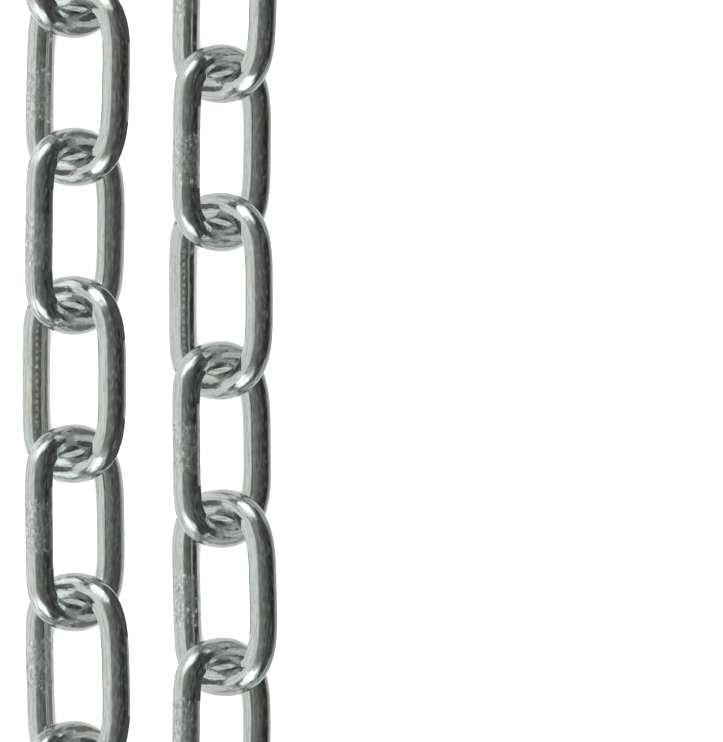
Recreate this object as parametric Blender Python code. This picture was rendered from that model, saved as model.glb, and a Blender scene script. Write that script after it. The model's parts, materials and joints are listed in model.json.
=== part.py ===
"""About one metre of welded steel chain, laid flat and doubled back on itself.

Every link is one closed ring of round wire, butt-welded in one leg, which is the straighter of the
two. Neighbouring links lean opposite ways, at right angles to each other, and each rests on the
straight of its lower leg. Two straight strands lie side by side along Y, and a fold at the far end
joins them.
"""
import math

import bpy
import numpy as np

MM = 0.001

# The link, as such chain is sold by its wire
WIRE = 6.0 * MM
INSIDE_LENGTH = 31.6 * MM
INSIDE_WIDTH = 15.9 * MM
SHOULDER = 11.6 * MM  # length of the rounded end, from the top of its crown to the straight leg
WELD_SHOULDER = 8.2 * MM  # the same at the leg with the weld, which the welding clamps keep straighter
LEAN = math.radians(45.0)
CLEARANCE = 0.5 * MM  # between the crowns of two links where they cross in a straight strand
FOLD_CLEARANCE = 0.8 * MM  # and where the chain turns

# The lay of the chain, with headings in degrees clockwise from +Y
FIRST_RUN = 13
SECOND_RUN = 12
FOLD_HEADINGS = (-30.4, 10.4, 56.4, 104.1, 150.8, 193.3, 219.5)
FIRST_HEADING = 0.0
SECOND_HEADING = 180.0
WELD_SWITCH = 16  # links before the switch have their weld to the left of the chain's course

CROWN_STEPS = 8
WIRE_ROUNDING = 4  # gives the wire twelve sides
WIRE_SIDES = 12
PLAY_SAMPLES = 160
PLAY_HALVINGS = 20


def zinc_plated_steel():
    material = bpy.data.materials.new("zinc_plated_steel")
    material.use_nodes = True
    shader = material.node_tree.nodes["Principled BSDF"]
    shader.inputs["Base Color"].default_value = (0.50, 0.52, 0.52, 1.0)
    shader.inputs["Metallic"].default_value = 1.0
    shader.inputs["Roughness"].default_value = 0.28
    return material


def corner_radius():
    """Radius of the twelve-sided wire's corners that gives it the area of the round wire."""
    corner_angle = 2 * math.pi / WIRE_SIDES
    return WIRE / 2 * math.sqrt(corner_angle / math.sin(corner_angle))


def link_centre_line():
    """Two straight legs joined by rounded ends, anticlockwise from the right leg's upper end.

    An end is two quarter ellipses that meet at the top of its crown. The left leg has the weld.
    """
    half_width = (INSIDE_WIDTH + WIRE) / 2
    half_length = (INSIDE_LENGTH + WIRE) / 2
    points = []
    for end in (1, -1):
        for step in range(CROWN_STEPS + 1):
            angle = math.pi * step / CROWN_STEPS
            across = end * math.cos(angle)
            shoulder = SHOULDER if across > 0 else WELD_SHOULDER
            points.append((half_width * across, end * (half_length - shoulder * (1 - math.sin(angle)))))
    return points


def link_curve(material):
    curve = bpy.data.curves.new("link", "CURVE")
    curve.dimensions = "3D"
    curve.bevel_depth = corner_radius()
    curve.bevel_resolution = WIRE_ROUNDING
    centre_line = link_centre_line()
    spline = curve.splines.new("POLY")
    spline.points.add(len(centre_line) - 1)
    for point, (x, y) in zip(spline.points, centre_line):
        point.co = (x, y, 0.0, 1.0)
    spline.use_cyclic_u = True
    curve.materials.append(material)
    return curve


def smooth_centre_line(reach, side):
    """Points on one link's true centre line, with its crown this far past the crossing at y = 0.

    The side, -1 or 1, is the one that has the weld.
    """
    half_width = (INSIDE_WIDTH + WIRE) / 2
    angle = np.linspace(0.0, math.pi, PLAY_SAMPLES)
    across = np.cos(angle)
    shoulder = np.where(across * side > 0, WELD_SHOULDER, SHOULDER)
    crown = np.c_[half_width * across, reach - shoulder * (1 - np.sin(angle))]
    middle = reach - (INSIDE_LENGTH + WIRE) / 2
    legs = [np.c_[np.full(PLAY_SAMPLES, end[0]), np.linspace(middle, end[1], PLAY_SAMPLES)]
            for end in (crown[0], crown[-1])]
    flat = np.vstack([crown, *legs])
    return np.c_[flat[:, 0] * math.cos(LEAN), flat[:, 1], flat[:, 0] * math.sin(LEAN)]


def closest_approach(turn, play, weld_sides):
    """Distance between the centre lines of two hooked links, the second turned by this angle."""
    behind, ahead = [smooth_centre_line((WIRE + play) / 2, side) for side in weld_sides]
    ahead = ahead * (1.0, -1.0, -1.0)
    east, north = ahead[:, 0].copy(), ahead[:, 1].copy()
    ahead[:, 0] = east * math.cos(turn) + north * math.sin(turn)
    ahead[:, 1] = north * math.cos(turn) - east * math.sin(turn)
    return np.linalg.norm(behind[:, None] - ahead[None], axis=2).min()


def crown_play(turn, weld_sides):
    """Slack that keeps the clearance between two hooked links, found by halving its range."""
    needed = WIRE + (FOLD_CLEARANCE if turn else CLEARANCE)
    low, high = 0.0, INSIDE_WIDTH - WIRE
    for _ in range(PLAY_HALVINGS):
        middle = (low + high) / 2
        if closest_approach(turn, middle, weld_sides) < needed:
            low = middle
        else:
            high = middle
    return high


def weld_side(index):
    """-1 for a weld to the left of the chain's course, and 1 for one to its right."""
    return -1 if index < WELD_SWITCH else 1


def headings():
    degrees = [FIRST_HEADING] * FIRST_RUN + list(FOLD_HEADINGS) + [SECOND_HEADING] * SECOND_RUN
    return [math.radians(angle) for angle in degrees]


def rest_height():
    """Height of the links' centres, with a flat of each lower leg on the floor."""
    half_width = (INSIDE_WIDTH + WIRE) / 2
    return half_width * math.sin(LEAN) + corner_radius() * math.cos(math.pi / WIRE_SIDES)


def lay_chain(collection, curve):
    """Chain of pivots, one where each link hooks into the one before it, with a link on each."""
    course = headings()
    turns = [0.0] + [after - before for before, after in zip(course, course[1:])] + [0.0]
    plays = [crown_play(turn, (weld_side(index - 1), weld_side(index))) for index, turn in enumerate(turns)]
    pivots = []
    for index, turn in enumerate(turns[:-1]):
        pivot = bpy.data.objects.new(f"pivot_{index + 1:02d}", None)
        pivot.empty_display_size = WIRE
        pivot.rotation_euler = (0.0, 0.0, -turn)
        if pivots:
            pivot.parent = pivots[-1]
            pivot.location = (0.0, INSIDE_LENGTH - (plays[index - 1] + plays[index]) / 2, 0.0)
        collection.objects.link(pivot)
        pivots.append(pivot)

        link = bpy.data.objects.new(f"link_{index + 1:02d}", curve)
        link.parent = pivot
        link.location = (0.0, (INSIDE_LENGTH - plays[index]) / 2, 0.0)
        lean = LEAN if index % 2 else -LEAN
        link.rotation_euler = (0.0, lean if weld_side(index) < 0 else lean + math.pi, 0.0)
        collection.objects.link(link)
    return pivots


def centre_over_floor(collection, root):
    """Move the chain so that its outline is centred on the origin."""
    bpy.context.view_layer.update()
    depsgraph = bpy.context.evaluated_depsgraph_get()
    corners = []
    for link in collection.objects:
        if link.type == "CURVE":
            shape = link.evaluated_get(depsgraph)
            corners += [shape.matrix_world @ vertex.co for vertex in shape.to_mesh().vertices]
            shape.to_mesh_clear()
    for axis in (0, 1):
        along = [corner[axis] for corner in corners]
        root.location[axis] -= (min(along) + max(along)) / 2
    root.location.z = rest_height()


def main():
    for thing in list(bpy.data.objects):
        bpy.data.objects.remove(thing, do_unlink=True)
    collection = bpy.data.collections.new("steel_chain")
    bpy.context.scene.collection.children.link(collection)
    pivots = lay_chain(collection, link_curve(zinc_plated_steel()))
    centre_over_floor(collection, pivots[0])


main()
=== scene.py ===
"""Looks of the steel chain: links of drawn wire, butt-welded and plated with bright zinc."""
import json
import math

import bpy
import numpy as np
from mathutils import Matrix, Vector


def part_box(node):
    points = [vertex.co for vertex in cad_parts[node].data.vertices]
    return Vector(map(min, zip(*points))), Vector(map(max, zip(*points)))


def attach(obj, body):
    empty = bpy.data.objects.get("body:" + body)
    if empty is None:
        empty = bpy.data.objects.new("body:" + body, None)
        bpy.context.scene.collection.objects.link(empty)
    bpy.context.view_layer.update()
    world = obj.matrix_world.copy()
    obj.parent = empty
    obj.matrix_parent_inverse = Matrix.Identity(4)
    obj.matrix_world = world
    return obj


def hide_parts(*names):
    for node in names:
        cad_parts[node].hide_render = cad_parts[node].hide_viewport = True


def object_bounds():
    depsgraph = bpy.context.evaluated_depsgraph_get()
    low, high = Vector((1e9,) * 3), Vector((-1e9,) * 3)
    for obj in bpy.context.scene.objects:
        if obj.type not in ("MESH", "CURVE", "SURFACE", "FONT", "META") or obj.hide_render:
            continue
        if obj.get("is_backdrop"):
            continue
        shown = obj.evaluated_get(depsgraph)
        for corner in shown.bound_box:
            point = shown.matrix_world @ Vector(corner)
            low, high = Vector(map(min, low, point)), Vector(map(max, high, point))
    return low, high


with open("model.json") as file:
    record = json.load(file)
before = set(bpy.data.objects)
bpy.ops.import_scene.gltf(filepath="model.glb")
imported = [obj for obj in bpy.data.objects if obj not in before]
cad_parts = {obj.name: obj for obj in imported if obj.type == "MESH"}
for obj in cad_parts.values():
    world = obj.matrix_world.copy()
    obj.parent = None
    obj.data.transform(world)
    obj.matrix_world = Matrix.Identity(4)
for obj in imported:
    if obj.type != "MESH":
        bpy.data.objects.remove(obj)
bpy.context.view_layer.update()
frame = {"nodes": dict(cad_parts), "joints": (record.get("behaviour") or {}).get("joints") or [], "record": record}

MM = 0.001

# The photograph's frame, and where the left strand lies in it, in pixels
PHOTO_WIDTH = 723
PHOTO_HEIGHT = 742
STEP_PX = 148.2  # from one crossing to the next
LEFT_STRAND_PX = 74.0
CROSSING_PX = 157.2  # height of the uppermost crossing of the left strand

# The camera, in metres but for its sensor
CROSSING_JOINT = "link_08_to_link_09"  # the uppermost crossing of the left strand
NEXT_CROSSING_JOINT = "link_07_to_link_08"
SECOND_STRAND_JOINT = "link_24_to_link_25"
CAMERA_HEIGHT = 3.0
CAMERA_RANGE = (0.1, 100.0)
STRANDS_SEEN_FROM_LEFT = math.radians(1.9)
SENSOR = 36.0  # millimetres

# Smooth ring of the visual link
AROUND = 48
ALONG = 280
SQUARENESS = 4.1  # exponent of the superellipse: 2 is an ellipse, more squares its long sides
WELD_SQUARENESS = 6.2  # and on the side of the weld
PATH_SAMPLES = 20000
CAD_SIDES = 12
END_SHARE = 0.4  # of a link's length: what lies farther from its middle is the crown

# How the links lie in their slack. Each strand bows to the left about one link
BOWS = ((7, -1, 0.0), (26, 1, -0.3))  # link, 1 if numbers rise towards -Y, millimetres to the right
BOW_REACH = 2  # links to both sides of the middle one
BOW_SHIFT = 0.2  # millimetres to the right, growing with the square of the steps from the middle
BOW_TURN = 0.7  # degrees anticlockwise from above, for each step towards -Y
LIE_SPREAD = (0.25, 0.8)  # of the other links, in millimetres and degrees
LIE_LIMIT = (0.9, 1.6)
STRAND_STRAIGHTNESS = 0.999  # least share of a link's direction that lies along Y in a strand

# Marks and relief of the wire, in millimetres
WELD_SHIFT = 4.0  # of the weld from the middle of its leg, at most
WELD_REACH = 5.0  # the clamped zone of the butt weld, to each side of it
WELD_RAGGEDNESS = 1.2  # by which the end of the frost wanders
FROST_SOFTNESS = 0.8
WHITE_EDGE = (-0.6, -0.1, 0.1, 0.5)  # about the frost's end: where it starts, is full, fades and ends
UPSET_HEIGHT = 0.022  # of the steel pushed out at the weld and at the ends of the clamped zone
RIDGE_WIDTH = 0.6
UPSET_EDGE_WIDTH = 0.35
GRIP_STEP = 1.45  # from one tooth mark of the feed roll to the next
GRIP_REACH = 13.0  # of the row of tooth marks, to each side of the weld
TOOTH_RADII = (0.48, 0.22)  # where a tooth mark starts and where it is full
TOOTH_NARROWING = 0.75  # width of a tooth mark over its length along the wire
GRIPPED = ("link_03", "link_07", "link_11", "link_22", "link_26", "link_30")
BEND_START = 0.97  # share of the path's direction along the leg where a bend starts
BEND_FADE = 0.25  # loss of that share over which the bend becomes full
THINNER = 0.036  # than the circle inside the CAD wire, which leaves room for the relief
WAVE_HEIGHT = 0.005
WAVES = (5, 9, 14, 23, 31, 44)  # round the ring
BUMP_HEIGHT = 0.007
PATTERN_STEP = 150.0  # along the pattern, from one link to the next
FAR = 9.0  # stands for no mark nearby

# The studio, in metres and watts
FLOOR_SIZE = 60.0
OVERHEAD_SIZE = 3.0
OVERHEAD_HEIGHT = 2.5
OVERHEAD_POWER = 190.0

# Cards that show only in the plating, with painted reflections, painted shade and painted light, placed from a
# crossing or from the middle between the strands
FOLD_JOINTS = range(14, 20)
FIRST_STRAND_JOINTS = range(1, 13)
CROWN_REACH = 7.0 * MM  # from a crossing to the far side of the crowns
ROW_PLACE = 1.0 * MM
LEG_CARD_PLACE = 3.6 * MM  # sideways, as LOW_CARD_PLACE is
LEG_CARD_ENDS = (0.2 * MM, 7.0 * MM)  # along the strand
LEG_CARD_FOOT = 14.7 * MM
LOW_CARD_PLACE = 12.0 * MM
LOW_CARD_FOOT = 3.0 * MM
CARD_GAP = 0.05 * MM  # half of it, between cards back to back
PAPER_INSET = 1.5 * MM

# Heights between which the painted brightness of a card changes
HIGH_LEG_FADE = (19.5 * MM, 15.5 * MM)
UNDER_HIGH_LEG_FADE = (14.5 * MM, 12.0 * MM)
LOW_LEG_FADE = (6.0 * MM, 2.0 * MM)
HIGH_CROWN_FADE = (15.5 * MM, 17.5 * MM)

# Kinds of node that are added often
RANGE = "ShaderNodeMapRange"
MATH = "ShaderNodeMath"
MIX = "ShaderNodeMix"
SMOOTH = {"interpolation_type": "SMOOTHSTEP"}

rng = np.random.default_rng(7)
joints = {joint["name"]: Vector(joint["pos_m"]) for joint in frame["joints"]}
strands_middle = (joints[CROSSING_JOINT].x + joints[SECOND_STRAND_JOINT].x) / 2


def linear(code):
    """Linear colour, with alpha, of an sRGB hex code such as C8CDC9."""
    channels = [int(code[i:i + 2], 16) / 255 for i in (0, 2, 4)]
    return [c / 12.92 if c <= 0.04045 else ((c + 0.055) / 1.055) ** 2.4 for c in channels] + [1.0]


def add(tree, kind, inputs=(), **settings):
    """Adds a node, sets its properties, and sets or links its inputs.

    The inputs are a list in the node's order, or a dictionary by number or name. Each is a value, a
    socket, or a node that stands for its first output.
    """
    node = tree.nodes.new(kind)
    for name, value in settings.items():
        setattr(node, name, value)
    for key, source in inputs.items() if isinstance(inputs, dict) else enumerate(inputs):
        if isinstance(source, bpy.types.Node):
            source = source.outputs[0]
        if isinstance(source, bpy.types.NodeSocket):
            tree.links.new(source, node.inputs[key])
        else:
            node.inputs[key].default_value = source
    return node


def region(tree, *edges):
    """Share that is 1 inside all the soft edges and 0 outside them.

    It is the product of smooth steps. Each edge is a coordinate, where its step is 0, and where it is 1.
    """
    share = 1.0
    for coordinate, outside, inside in edges:
        step = add(tree, RANGE, [coordinate, outside, inside], **SMOOTH)
        share = add(tree, MATH, [share, step], operation="MULTIPLY")
    return share


def painted(tree, level, layers):
    """The level with other levels laid over it in turn, each as far as its share goes."""
    for share, other in layers:
        level = add(tree, MIX, {0: share, 2: level, 3: other})
    return level


def weighted_sum(tree, total, parts):
    """The total with each part added to it, times its weight."""
    for part, weight in parts:
        total = add(tree, MATH, [part, weight, total], operation="MULTIPLY_ADD")
    return total


def grain(tree, place, stretch, per_mm, detail, rough):
    """Noise on the wire's own millimetres, with this many cells to each, stretched along the wire."""
    spread = add(tree, "ShaderNodeVectorMath", [place, (1.0, 1.0, 1.0 / stretch)], operation="MULTIPLY")
    return add(tree, "ShaderNodeTexNoise",
               {"Vector": spread, "Scale": per_mm, "Detail": detail, "Roughness": rough})


def new_material(name, values):
    """Material with these values on its shader's own sockets."""
    material = bpy.data.materials.new(name)
    material.use_nodes = True
    shader = material.node_tree.nodes["Principled BSDF"]
    for socket, value in values.items():
        shader.inputs[socket].default_value = value
    return material, material.node_tree, shader


def bright_zinc():
    """Bright zinc plating, electroplated over drawn steel wire.

    The plating is a metal with a soft mirror, a little brown in places. Drawing leaves fine lines along
    the wire, 0.5 mm apart and 15 mm long, and dull specks of the same width. The bends are a little
    uneven. The clamped zone of the butt weld is frosted, with ragged edges and painted highlights: pale,
    less metallic specks, each a painted glint. Feed rolls leave a row of tooth marks on some links.
    """
    material, tree, shader = new_material("bright_zinc_on_drawn_wire", {"Metallic": 1.0})
    place = add(tree, "ShaderNodeAttribute", attribute_name="wire_mm").outputs["Vector"]
    marks = add(tree, "ShaderNodeAttribute", attribute_name="marks_mm").outputs["Vector"]
    from_weld, from_grip, along_grip = add(tree, "ShaderNodeSeparateXYZ", [marks]).outputs
    bend = add(tree, "ShaderNodeAttribute", attribute_name="bend").outputs["Fac"]

    lines = grain(tree, place, stretch=30.0, per_mm=2.0, detail=3.0, rough=0.6)
    specks = grain(tree, place, stretch=3.5, per_mm=2.0, detail=3.0, rough=0.65)
    cloud = grain(tree, place, stretch=3.0, per_mm=0.35, detail=3.0, rough=0.55)
    pits = grain(tree, place, stretch=1.5, per_mm=1.6, detail=3.0, rough=0.6)
    peel = grain(tree, place, stretch=2.0, per_mm=0.6, detail=2.0, rough=0.5)

    wander = add(tree, RANGE, [cloud, 0.3, 0.7, -WELD_RAGGEDNESS, WELD_RAGGEDNESS])
    ragged = add(tree, MATH, [from_weld, wander], operation="ADD")
    frost_end = (ragged, WELD_REACH + FROST_SOFTNESS, WELD_REACH - FROST_SOFTNESS)
    frost = region(tree, frost_end)
    # Painted highlights in the frost: specks of pale, less metallic colour, each a painted glint
    painted_glints = region(tree, frost_end, (pits, 0.64, 0.72))
    start, full, fade, end = [WELD_REACH + step for step in WHITE_EDGE]
    weld_edge = region(tree, (ragged, start, full), (ragged, end, fade), (specks, 0.48, 0.66))
    along_tooth = add(tree, MATH, [along_grip, GRIP_STEP / 2], operation="PINGPONG")
    along_tooth = add(tree, MATH, [along_tooth, TOOTH_NARROWING], operation="MULTIPLY")
    offset = add(tree, "ShaderNodeCombineXYZ", [along_tooth, from_grip])
    from_tooth = add(tree, "ShaderNodeVectorMath", [offset], operation="LENGTH").outputs["Value"]
    tooth_mark = region(tree, (from_tooth, *TOOTH_RADII))

    pitted = add(tree, RANGE, [pits, 0.36, 0.60, 0.74, 1.04], **SMOOTH)
    tone = 1.0
    for shade in (add(tree, RANGE, [lines, 0.36, 0.54, 0.80, 1.0], **SMOOTH),
                  add(tree, RANGE, [specks, 0.36, 0.50, 0.86, 1.0], **SMOOTH),
                  add(tree, RANGE, [cloud, 0.3, 0.7, 0.93, 1.06]),
                  painted(tree, 1.0, [(frost, pitted)])):
        tone = add(tree, MATH, [tone, shade], operation="MULTIPLY")
    plating = add(tree, MIX, {0: tone, 6: linear("15181A"), 7: linear("D3D8D6")},
                  data_type="RGBA", clamp_factor=False)
    brown = add(tree, RANGE, [cloud, 0.46, 0.66, 0.0, 0.45], **SMOOTH)
    tinted = add(tree, MIX, {0: brown, 6: plating.outputs[2], 7: linear("E6DFD2")},
                 data_type="RGBA", blend_type="MULTIPLY")
    # Pale colour laid over the plating: the painted glint specks, and the frost's pale edge at half strength
    half_edge = add(tree, MATH, [weld_edge, 0.5], operation="MULTIPLY")
    painted_glints_and_white_edge = add(tree, MATH, [painted_glints, half_edge], operation="MAXIMUM")
    finish = add(tree, MIX, {0: painted_glints_and_white_edge, 6: tinted.outputs[2], 7: linear("F2F4F2")}, data_type="RGBA")
    tree.links.new(finish.outputs[2], shader.inputs["Base Color"])

    dull_specks = add(tree, RANGE, [specks, 0.46, 0.74], **SMOOTH)
    metallic = weighted_sum(tree, 1.0, [(dull_specks, -0.06), (frost, -0.025), (painted_glints_and_white_edge, -0.14),
                                        (tooth_mark, -0.07)])
    tree.links.new(metallic.outputs[0], shader.inputs["Metallic"])

    rough = painted(tree, add(tree, RANGE, [lines, 0.60, 0.40, 0.08, 0.20], **SMOOTH), [(frost, 0.26)])
    tree.links.new(rough.outputs[0], shader.inputs["Roughness"])

    peel_in_bend = add(tree, MATH, [peel, bend], operation="MULTIPLY")
    pits_in_bend = add(tree, MATH, [pits, bend], operation="MULTIPLY")
    pits_in_frost = add(tree, MATH, [pits, frost], operation="MULTIPLY")
    height = weighted_sum(tree, 0.0, [(lines, 1.0), (specks, 0.8), (peel_in_bend, 24.0),
                                      (pits_in_bend, 6.0), (pits_in_frost, 5.0), (weld_edge, 3.0),
                                      (tooth_mark, -3.5)])
    bump = add(tree, "ShaderNodeBump", {"Height": height, "Strength": 1.0, "Distance": BUMP_HEIGHT * MM})
    tree.links.new(bump.outputs[0], shader.inputs["Normal"])
    return material


def link_axes(node, ahead):
    """Centre, axes, side of the weld and half sizes of one link, from the spread of its CAD corners.

    The axes are the directions of least, middle and greatest spread. The link's rounded ends are
    squarer on the side of the weld.
    """
    corners = np.zeros(len(node.data.vertices) * 3, np.float32)
    node.data.vertices.foreach_get("co", corners)
    corners = corners.reshape(-1, 3).astype(float)
    middle = corners.mean(axis=0)
    _, axes = np.linalg.eigh(np.cov((corners - middle).T))
    side, along = axes[:, 1], axes[:, 2]
    along = along * np.sign(along @ ahead)
    side = side * np.sign(side @ np.cross(along, (0, 0, 1)))
    normal = np.cross(side, along)
    reach = [(corners - middle) @ axis for axis in (side, along, normal)]
    low, high = [r.min() for r in reach], [r.max() for r in reach]
    centre = middle + sum(axis * (a + b) / 2 for axis, a, b in zip((side, along, normal), low, high))
    ends = np.abs(reach[1] - (low[1] + high[1]) / 2) > END_SHARE * (high[1] - low[1])
    weld_side = np.sign(reach[0][ends].mean() - (low[0] + high[0]) / 2)
    return centre, side, along, normal, weld_side, [(b - a) / 2 for a, b in zip(low, high)]


def own_lie(name, axes):
    """The link's place moved and turned a little on the level, as it lies in its slack.

    Both amounts are normal random numbers inside a limit, but follow the curve of a bow where there
    is one. The links of the fold keep their place.
    """
    centre, side, along, normal, weld_side, halves = axes
    shift, turn = [float(np.clip(rng.normal(0.0, spread), -limit, limit))
                   for spread, limit in zip(LIE_SPREAD, LIE_LIMIT)]
    for middle, course, start in BOWS:
        steps = course * (int(name[-2:]) - middle)
        if abs(steps) <= BOW_REACH:
            shift, turn = start + BOW_SHIFT * steps ** 2, BOW_TURN * steps
    if abs(along[1]) < STRAND_STRAIGHTNESS:
        shift, turn = 0.0, 0.0
    turn = math.radians(turn)
    level = np.array([[math.cos(turn), -math.sin(turn), 0.0], [math.sin(turn), math.cos(turn), 0.0],
                      [0.0, 0.0, 1.0]])
    across = np.array([abs(along[1]), -along[0] * np.sign(along[1]), 0.0])
    side, along, normal = level @ side, level @ along, level @ normal
    return centre + across * shift * MM, side, along, normal, weld_side, halves


def ring_path(half_width, half_length, weld_side, weld_shift):
    """Closed centre line of a link, in even steps from the weld, and the distance of each point.

    x is the half width times the cosine of t, and y the half length times the sine of t raised
    to 2 / squareness, a superellipse that is squarer on the side of the weld.
    """
    t = np.linspace(0.0, 2 * math.pi, PATH_SAMPLES + 1)
    cosine, sine = np.cos(t), np.sin(t)
    squareness = np.where(cosine * weld_side > 0, WELD_SQUARENESS, SQUARENESS)
    x = half_width * cosine
    y = half_length * np.sign(sine) * np.abs(sine) ** (2 / squareness)
    run = np.r_[0.0, np.cumsum(np.hypot(np.diff(x), np.diff(y)))]
    start = weld_shift if weld_side > 0 else run[PATH_SAMPLES // 2] - weld_shift
    distance = np.arange(ALONG) * run[-1] / ALONG
    place = (start + distance) % run[-1]
    return np.c_[np.interp(place, run, x), np.interp(place, run, y)], distance, run[-1]


def wire_radius(radius, turn, angle, from_weld, gripped):
    """Radius of the wire at each turn of the ring and each angle round the wire.

    It has a slow wave, a sum of sines. Links without tooth marks also have a ridge at the weld and an
    upset edge at each end of the clamped zone, each a bell curve of the distance.
    """
    phases = rng.uniform(0, 2 * math.pi, len(WAVES))
    wave = sum(np.sin(count * turn[:, None] + angle * (count % 3) + phase)
               for count, phase in zip(WAVES, phases))
    r = radius - THINNER * MM + WAVE_HEIGHT * MM * wave
    if not gripped:
        ridge = np.exp(-(from_weld / RIDGE_WIDTH) ** 2)
        edges = np.exp(-((from_weld - WELD_REACH) / UPSET_EDGE_WIDTH) ** 2)
        r += UPSET_HEIGHT * MM * (ridge + edges)[:, None]
    return r


def tube_mesh(name, points):
    """Closed tube through a grid of points, with a quad between each four neighbours."""
    row = np.arange(ALONG)[:, None] * AROUND
    next_row = np.roll(row, -1, axis=0)
    column = np.arange(AROUND)[None, :]
    next_column = np.roll(column, -1, axis=1)
    quads = np.stack([row + column, next_row + column, next_row + next_column, row + next_column], axis=-1)
    mesh = bpy.data.meshes.new(name)
    mesh.vertices.add(points.size // 3)
    mesh.vertices.foreach_set("co", points.ravel())
    mesh.loops.add(quads.size)
    mesh.loops.foreach_set("vertex_index", quads.ravel())
    mesh.polygons.add(quads.size // 4)
    mesh.polygons.foreach_set("loop_start", np.arange(0, quads.size, 4))
    mesh.update(calc_edges=True)
    mesh.shade_smooth()
    return mesh


def ring_mesh(name, axes, number, gripped):
    """Tube of round section along the superellipse, on a grid of ALONG by AROUND from the weld on.

    A point is the path's point, plus the radius times the cosine of the angle outwards, plus the
    radius times its sine along the link's normal. The attributes tell the plating where it is: the
    point's place on the straightened wire, its distance from the weld and from the row of tooth
    marks on the wire's upper side, and how much the path bends there.
    """
    centre, side, along, normal, weld_side, (half_side, half_along, half_normal) = axes
    radius = half_normal * math.cos(math.pi / CAD_SIDES)
    weld_shift = rng.uniform(-WELD_SHIFT, WELD_SHIFT) * MM
    path, distance, whole = ring_path(half_side - half_normal, half_along - half_normal, weld_side,
                                      weld_shift)
    tangent = np.roll(path, -1, axis=0) - np.roll(path, 1, axis=0)
    tangent /= np.linalg.norm(tangent, axis=1)[:, None]
    outward = np.c_[tangent[:, 1], -tangent[:, 0]]
    angle = np.arange(AROUND) * 2 * math.pi / AROUND
    from_weld = np.minimum(distance, whole - distance) / MM

    r = wire_radius(radius, distance / whole * 2 * math.pi, angle, from_weld, gripped)
    flat = path[:, None, :] + outward[:, None, :] * (r * np.cos(angle))[..., None]
    height = r * np.sin(angle)
    mesh = tube_mesh(name, centre + flat[..., :1] * side + flat[..., 1:] * along + height[..., None] * normal)

    bend = np.clip((BEND_START - np.abs(tangent[:, 1])) / BEND_FADE, 0.0, 1.0)
    mesh.attributes.new("bend", "FLOAT", "POINT").data.foreach_set("value", np.repeat(bend, AROUND))
    run = distance[:, None] / MM
    wire = (radius / MM * np.cos(angle), radius / MM * np.sin(angle), run + PATTERN_STEP * number)
    up = outward[:, :1] * side[2] + outward[:, 1:] * along[2]
    top = np.arctan2(normal[2], up)
    from_row = radius / MM * np.abs((angle - top + math.pi) % (2 * math.pi) - math.pi)
    on_leg = gripped & (from_weld < GRIP_REACH)
    from_row = np.where(on_leg[:, None], from_row, FAR)
    marks = (np.full_like(run, FAR) if gripped else from_weld[:, None], from_row, run)
    for label, values in (("wire_mm", wire), ("marks_mm", marks)):
        grid = np.stack([np.broadcast_to(value, (ALONG, AROUND)) for value in values], axis=-1)
        mesh.attributes.new(label, "FLOAT_VECTOR", "POINT").data.foreach_set("vector", grid.ravel())
    return mesh


def dress_links(material):
    """A ring in the place of each CAD link, riding on that link's body."""
    names = sorted(frame["nodes"])
    middles = [sum(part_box(name), Vector()) / 2 for name in names]
    for index, name in enumerate(names):
        near, far = max(index - 1, 0), min(index + 1, len(names) - 1)
        ahead = np.array(middles[far] - middles[near])
        axes = own_lie(name, link_axes(frame["nodes"][name], ahead))
        mesh = ring_mesh(name + "_ring", axes, index, name in GRIPPED)
        mesh.materials.append(material)
        ring = bpy.data.objects.new(name + "_ring", mesh)
        bpy.context.scene.collection.objects.link(ring)
        body = next(body for body, nodes in frame["record"]["behaviour"]["bodies"].items() if name in nodes)
        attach(ring, body)
        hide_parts(name)


def aim_camera():
    """From high up and a little to the left, with the photograph's frame over the strands.

    The strands are seen at the given angle off the vertical, at the links' mid height.
    """
    crossing = joints[CROSSING_JOINT]
    metres_per_px = (crossing - joints[NEXT_CROSSING_JOINT]).length / STEP_PX
    aim = Vector((crossing.x + (PHOTO_WIDTH / 2 - LEFT_STRAND_PX) * metres_per_px,
                  crossing.y - (PHOTO_HEIGHT / 2 - CROSSING_PX) * metres_per_px, crossing.z))
    eye = Vector((strands_middle - CAMERA_HEIGHT * math.tan(STRANDS_SEEN_FROM_LEFT), aim.y,
                  crossing.z + CAMERA_HEIGHT))
    camera = bpy.data.cameras.new("photo_camera")
    camera.sensor_fit = "HORIZONTAL"
    camera.sensor_width = SENSOR
    camera.lens = SENSOR * (aim - eye).length / (PHOTO_WIDTH * metres_per_px)
    camera.clip_start, camera.clip_end = CAMERA_RANGE
    holder = bpy.data.objects.new("photo_camera", camera)
    bpy.context.scene.collection.objects.link(holder)
    holder.location = eye
    holder.rotation_euler = (0.0, -math.atan2(aim.x - eye.x, CAMERA_HEIGHT), 0.0)
    bpy.context.scene.camera = holder


def matt_paper(name, code, glow=0.0):
    """Matt paper, which scatters light evenly and has no gloss, and glows as bright as the glow, a painted light.
    """
    material, _, _ = new_material(name, {
        "Base Color": linear(code), "Roughness": 0.9, "Specular IOR Level": 0.0,
        "Emission Color": linear("FFFFFF"), "Emission Strength": glow})
    return material


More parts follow.
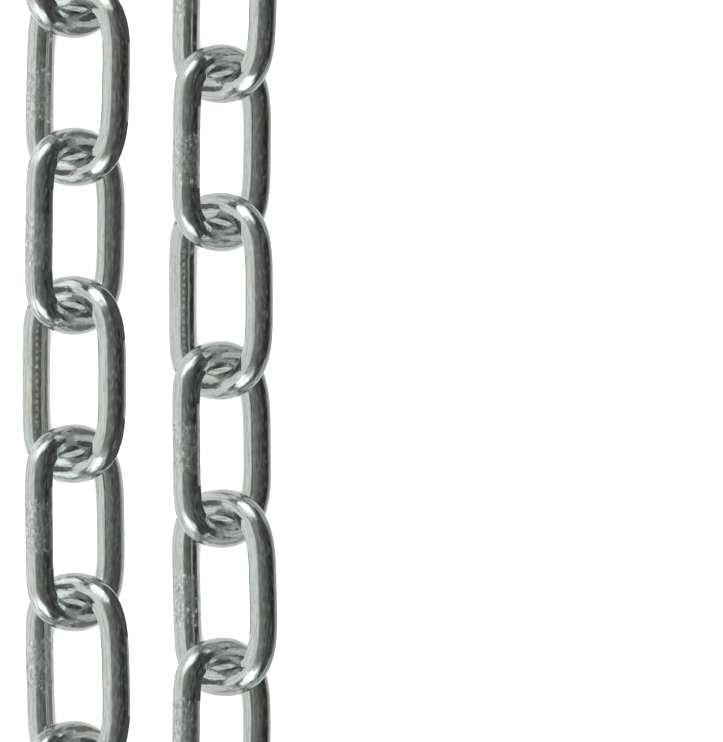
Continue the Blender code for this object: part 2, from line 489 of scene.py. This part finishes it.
def pale_floor():
    """Pale matt floor at the chain's lowest point, hidden from the plating."""
    low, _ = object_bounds()
    mesh = bpy.data.meshes.new("floor")
    half = FLOOR_SIZE / 2
    corners = [(-half, -half, low.z), (half, -half, low.z), (half, half, low.z), (-half, half, low.z)]
    mesh.from_pydata(corners, [], [(0, 1, 2, 3)])
    mesh.materials.append(matt_paper("pale_floor", "F2F2F0"))
    floor = bpy.data.objects.new("floor", mesh)
    bpy.context.scene.collection.objects.link(floor)
    floor.visible_glossy = False
    floor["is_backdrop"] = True


def studio_room():
    """Room seen in the plating, by direction: x to the right, z up, and the ends either way along Y.

    Above the horizon the brightness falls from the left to the right. Towards each end of the strands
    it falls more steeply, behind a bright panel from 8 to 42 degrees up. The left is a bright wall
    that starts 40 degrees off the vertical and is brightest towards the ends. Below the horizon it is
    light, but to the right it is dark at the horizon and brightens downwards. Towards the ends it has
    a middle level there, bright to the left, and a dark band from 23 to 31 degrees down.
    """
    world = bpy.data.worlds.new("studio_room")
    world.use_nodes = True
    bpy.context.scene.world = world
    tree = world.node_tree
    background = tree.nodes["Background"]
    place = add(tree, "ShaderNodeTexCoord")
    x, y, z = add(tree, "ShaderNodeSeparateXYZ", [place.outputs["Generated"]]).outputs
    ends = add(tree, MATH, [y], operation="ABSOLUTE")

    above = add(tree, RANGE, [x, -0.6, 0.95, 0.28, 0.03])
    above_ends = add(tree, RANGE, [x, -0.5, 0.3, 0.50, 0.08])
    panel = region(tree, (ends, 0.44, 0.64), (x, 0.38, -0.08), (z, 0.77, 0.56), (z, 0.04, 0.24))
    wall = painted(tree, add(tree, RANGE, [z, 0.30, 0.80, 0.92, 0.78], **SMOOTH),
                   [(region(tree, (ends, 0.40, 0.60)), 1.40)])
    below_right = add(tree, RANGE, [z, -0.05, -0.85, 0.07, 0.70])
    below_ends = painted(tree, add(tree, RANGE, [z, -0.30, -0.80, 0.56, 0.80], **SMOOTH),
                         [(region(tree, (x, -0.35, -0.55)), 1.30)])
    band = region(tree, (z, -0.36, -0.42), (z, -0.56, -0.48), (ends, 0.30, 0.50))
    below = painted(tree, below_right, [(region(tree, (x, 0.55, 0.15)), 0.90),
                                        (region(tree, (ends, 0.30, 0.50)), below_ends), (band, 0.25)])
    level = painted(tree, above, [(region(tree, (ends, 0.25, 0.75)), above_ends), (panel, 1.95),
                                  (region(tree, (x, -0.60, -0.66)), wall),
                                  (region(tree, (z, 0.0, -0.14)), below)])
    tree.links.new(level.outputs[0], background.inputs["Strength"])
    tint = add(tree, MIX, {0: region(tree, (ends, 0.30, 0.80)), 6: linear("FFFFFD"), 7: linear("F0F9FA")},
               data_type="RGBA")
    tree.links.new(tint.outputs[2], background.inputs["Color"])


def overhead_light():
    """Even light for the floor, hidden from the plating."""
    light = bpy.data.lights.new("overhead", "AREA")
    light.shape = "DISK"
    light.size = OVERHEAD_SIZE
    light.energy = OVERHEAD_POWER
    holder = bpy.data.objects.new("overhead", light)
    bpy.context.scene.collection.objects.link(holder)
    holder.location = (0.0, 0.0, OVERHEAD_HEIGHT)
    holder.visible_glossy = False
    holder.visible_camera = False


def upright_quad(x, near, far, low, high):
    """Corners of an upright rectangle along Y, from near to far and from low to high."""
    return [(x, near, low), (x, far, low), (x, far, high), (x, near, high)]


def card(name, corners, material):
    """Card of rectangles, given by four corners each, that shows only in the plating."""
    mesh = bpy.data.meshes.new(name)
    mesh.from_pydata(corners, [], [range(first, first + 4) for first in range(0, len(corners), 4)])
    mesh.materials.append(material)
    thing = bpy.data.objects.new(name, mesh)
    bpy.context.scene.collection.objects.link(thing)
    thing.visible_camera = False
    thing.visible_diffuse = False
    thing.visible_shadow = False
    thing.visible_transmission = False
    thing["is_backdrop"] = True


def glowing_card(name, corners, level):
    """Black card that glows as bright as the level, a number or a function of the height in metres, and so paints
    light and shade into what the plating mirrors.
    """
    material, tree, shader = new_material(name, {
        "Base Color": linear("000000"), "Specular IOR Level": 0.0, "Emission Color": linear("FFFFFF")})
    if callable(level):
        place = add(tree, "ShaderNodeTexCoord").outputs["Object"]
        height = add(tree, "ShaderNodeSeparateXYZ", [place]).outputs[2]
        tree.links.new(level(tree, height).outputs[0], shader.inputs["Emission Strength"])
    else:
        shader.inputs["Emission Strength"].default_value = level
    card(name, corners, material)


def beside_high_leg(tree, height):
    """Painted reflection, as the studio's right side looks: dark level with the top of a high leg, bright at its
    foot, and dull below it, a painted shade.
    """
    foot = add(tree, RANGE, [height, *HIGH_LEG_FADE, 0.07, 0.60], **SMOOTH)
    return painted(tree, foot, [(region(tree, (height, *UNDER_HIGH_LEG_FADE)), 0.20)])


def beside_low_leg(tree, height):
    """Painted reflection: dark above a low leg, and brighter towards the floor."""
    return add(tree, RANGE, [height, *LOW_LEG_FADE, 0.09, 0.62], **SMOOTH)


def looking_right(tree, height):
    """Painted reflection: dark beside the high crowns, and lighter at the foot, for the low right side of a crown.
    """
    return add(tree, RANGE, [height, *HIGH_CROWN_FADE, 0.34, 0.07], **SMOOTH)


def cards_between_strands():
    """Two rows of glowing cards back to back, painted reflections, so that neither strand mirrors the other.

    Those that face the first strand are a painted reflection that goes on as the studio's right side does,
    beside its high legs and its low ones. Those that face the second strand paint the studio's left side,
    as bright as it is.
    """
    low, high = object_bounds()
    ends = [low.y] + [joints[f"link_{n:02d}_to_link_{n + 1:02d}"].y for n in FIRST_STRAND_JOINTS]
    by_high_legs, by_low_legs = [], []
    for number, (near, far) in enumerate(zip(ends, ends[1:]), start=1):
        if number % 2:
            by_high_legs += upright_quad(strands_middle - ROW_PLACE, near + CROWN_REACH, far - CROWN_REACH,
                                         low.z, high.z)
        else:
            by_low_legs += upright_quad(strands_middle - ROW_PLACE, near - CROWN_REACH, far + CROWN_REACH,
                                        low.z, high.z)
    # Painted reflections: the studio's right side for the first strand, its left side for the second
    glowing_card("beside_high_leg", by_high_legs, beside_high_leg)
    glowing_card("beside_low_leg", by_low_legs, beside_low_leg)
    second = upright_quad(strands_middle + ROW_PLACE, ends[0], ends[-1], low.z, high.z)
    glowing_card("beside_second_strand", second, 0.86)


def cards_at_crossings():
    """Small glowing cards about each crossing of the strands, painted reflections, so that the crowns don't mirror
    the high legs.

    A pair back to back stands beside each of the two high legs. Looked at to the right it is dark, and
    to the left it is light, as the studio is. Of the link with a high right leg, the low side of the
    crown has a dark card to its left, a painted shade. Of the other link, it has a light card to its
    right, a painted light.
    """
    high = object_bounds()[1].z
    to_right, to_left, painted_shade_left_of_crown, painted_light_right_of_crown = [], [], [], []
    for name, (x, y, _) in joints.items():
        number = int(name[5:7])
        if number in FOLD_JOINTS:
            continue
        way = -1 if number % 2 else 1  # where the link with the high right leg lies
        for side in (-1, 1):
            near, far = sorted(y + side * way * reach for reach in LEG_CARD_ENDS)
            place = x + side * LEG_CARD_PLACE
            to_right += upright_quad(place - CARD_GAP, near, far, LEG_CARD_FOOT, high)
            to_left += upright_quad(place + CARD_GAP, near, far, LEG_CARD_FOOT, high)
        near, far = sorted((y, y - way * CROWN_REACH))
        painted_shade_left_of_crown += upright_quad(x - LOW_CARD_PLACE, near, far, LOW_CARD_FOOT, LEG_CARD_FOOT)
        near, far = sorted((y, y + way * CROWN_REACH))
        painted_light_right_of_crown += upright_quad(x + LOW_CARD_PLACE, near, far, LOW_CARD_FOOT, LEG_CARD_FOOT)
    # Painted reflections of the studio to both sides, a painted shade left of the low crowns and a painted light
    # right of them
    glowing_card("looking_right", to_right, looking_right)
    glowing_card("looking_left", to_left, 0.88)
    glowing_card("painted_shade_left_of_crown", painted_shade_left_of_crown, 0.14)
    glowing_card("painted_light_right_of_crown", painted_light_right_of_crown, 0.62)


def paper_under_links():
    """Paper under each link, which takes the links' own shade and is mirrored in their plating.

    The floor itself isn't mirrored, so beyond the links the plating sees the studio's lower half. The
    paper also glows, a painted light that makes its shade paler.
    """
    floor_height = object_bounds()[0].z
    corners = []
    for name in frame["nodes"]:
        low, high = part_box(name)
        left, right = low.x + PAPER_INSET, high.x - PAPER_INSET
        corners += [(left, low.y, floor_height), (right, low.y, floor_height),
                    (right, high.y, floor_height), (left, high.y, floor_height)]
    # Glow of 0.55: painted light that lifts the paper's shade as the plating sees it
    card("paper_under_links", corners, matt_paper("paper_under_links", "A0A1A0", 0.55))


dress_links(bright_zinc())
aim_camera()
pale_floor()
studio_room()
overhead_light()
cards_between_strands()
cards_at_crossings()
paper_under_links()
bpy.context.scene.view_settings.view_transform = "Standard"
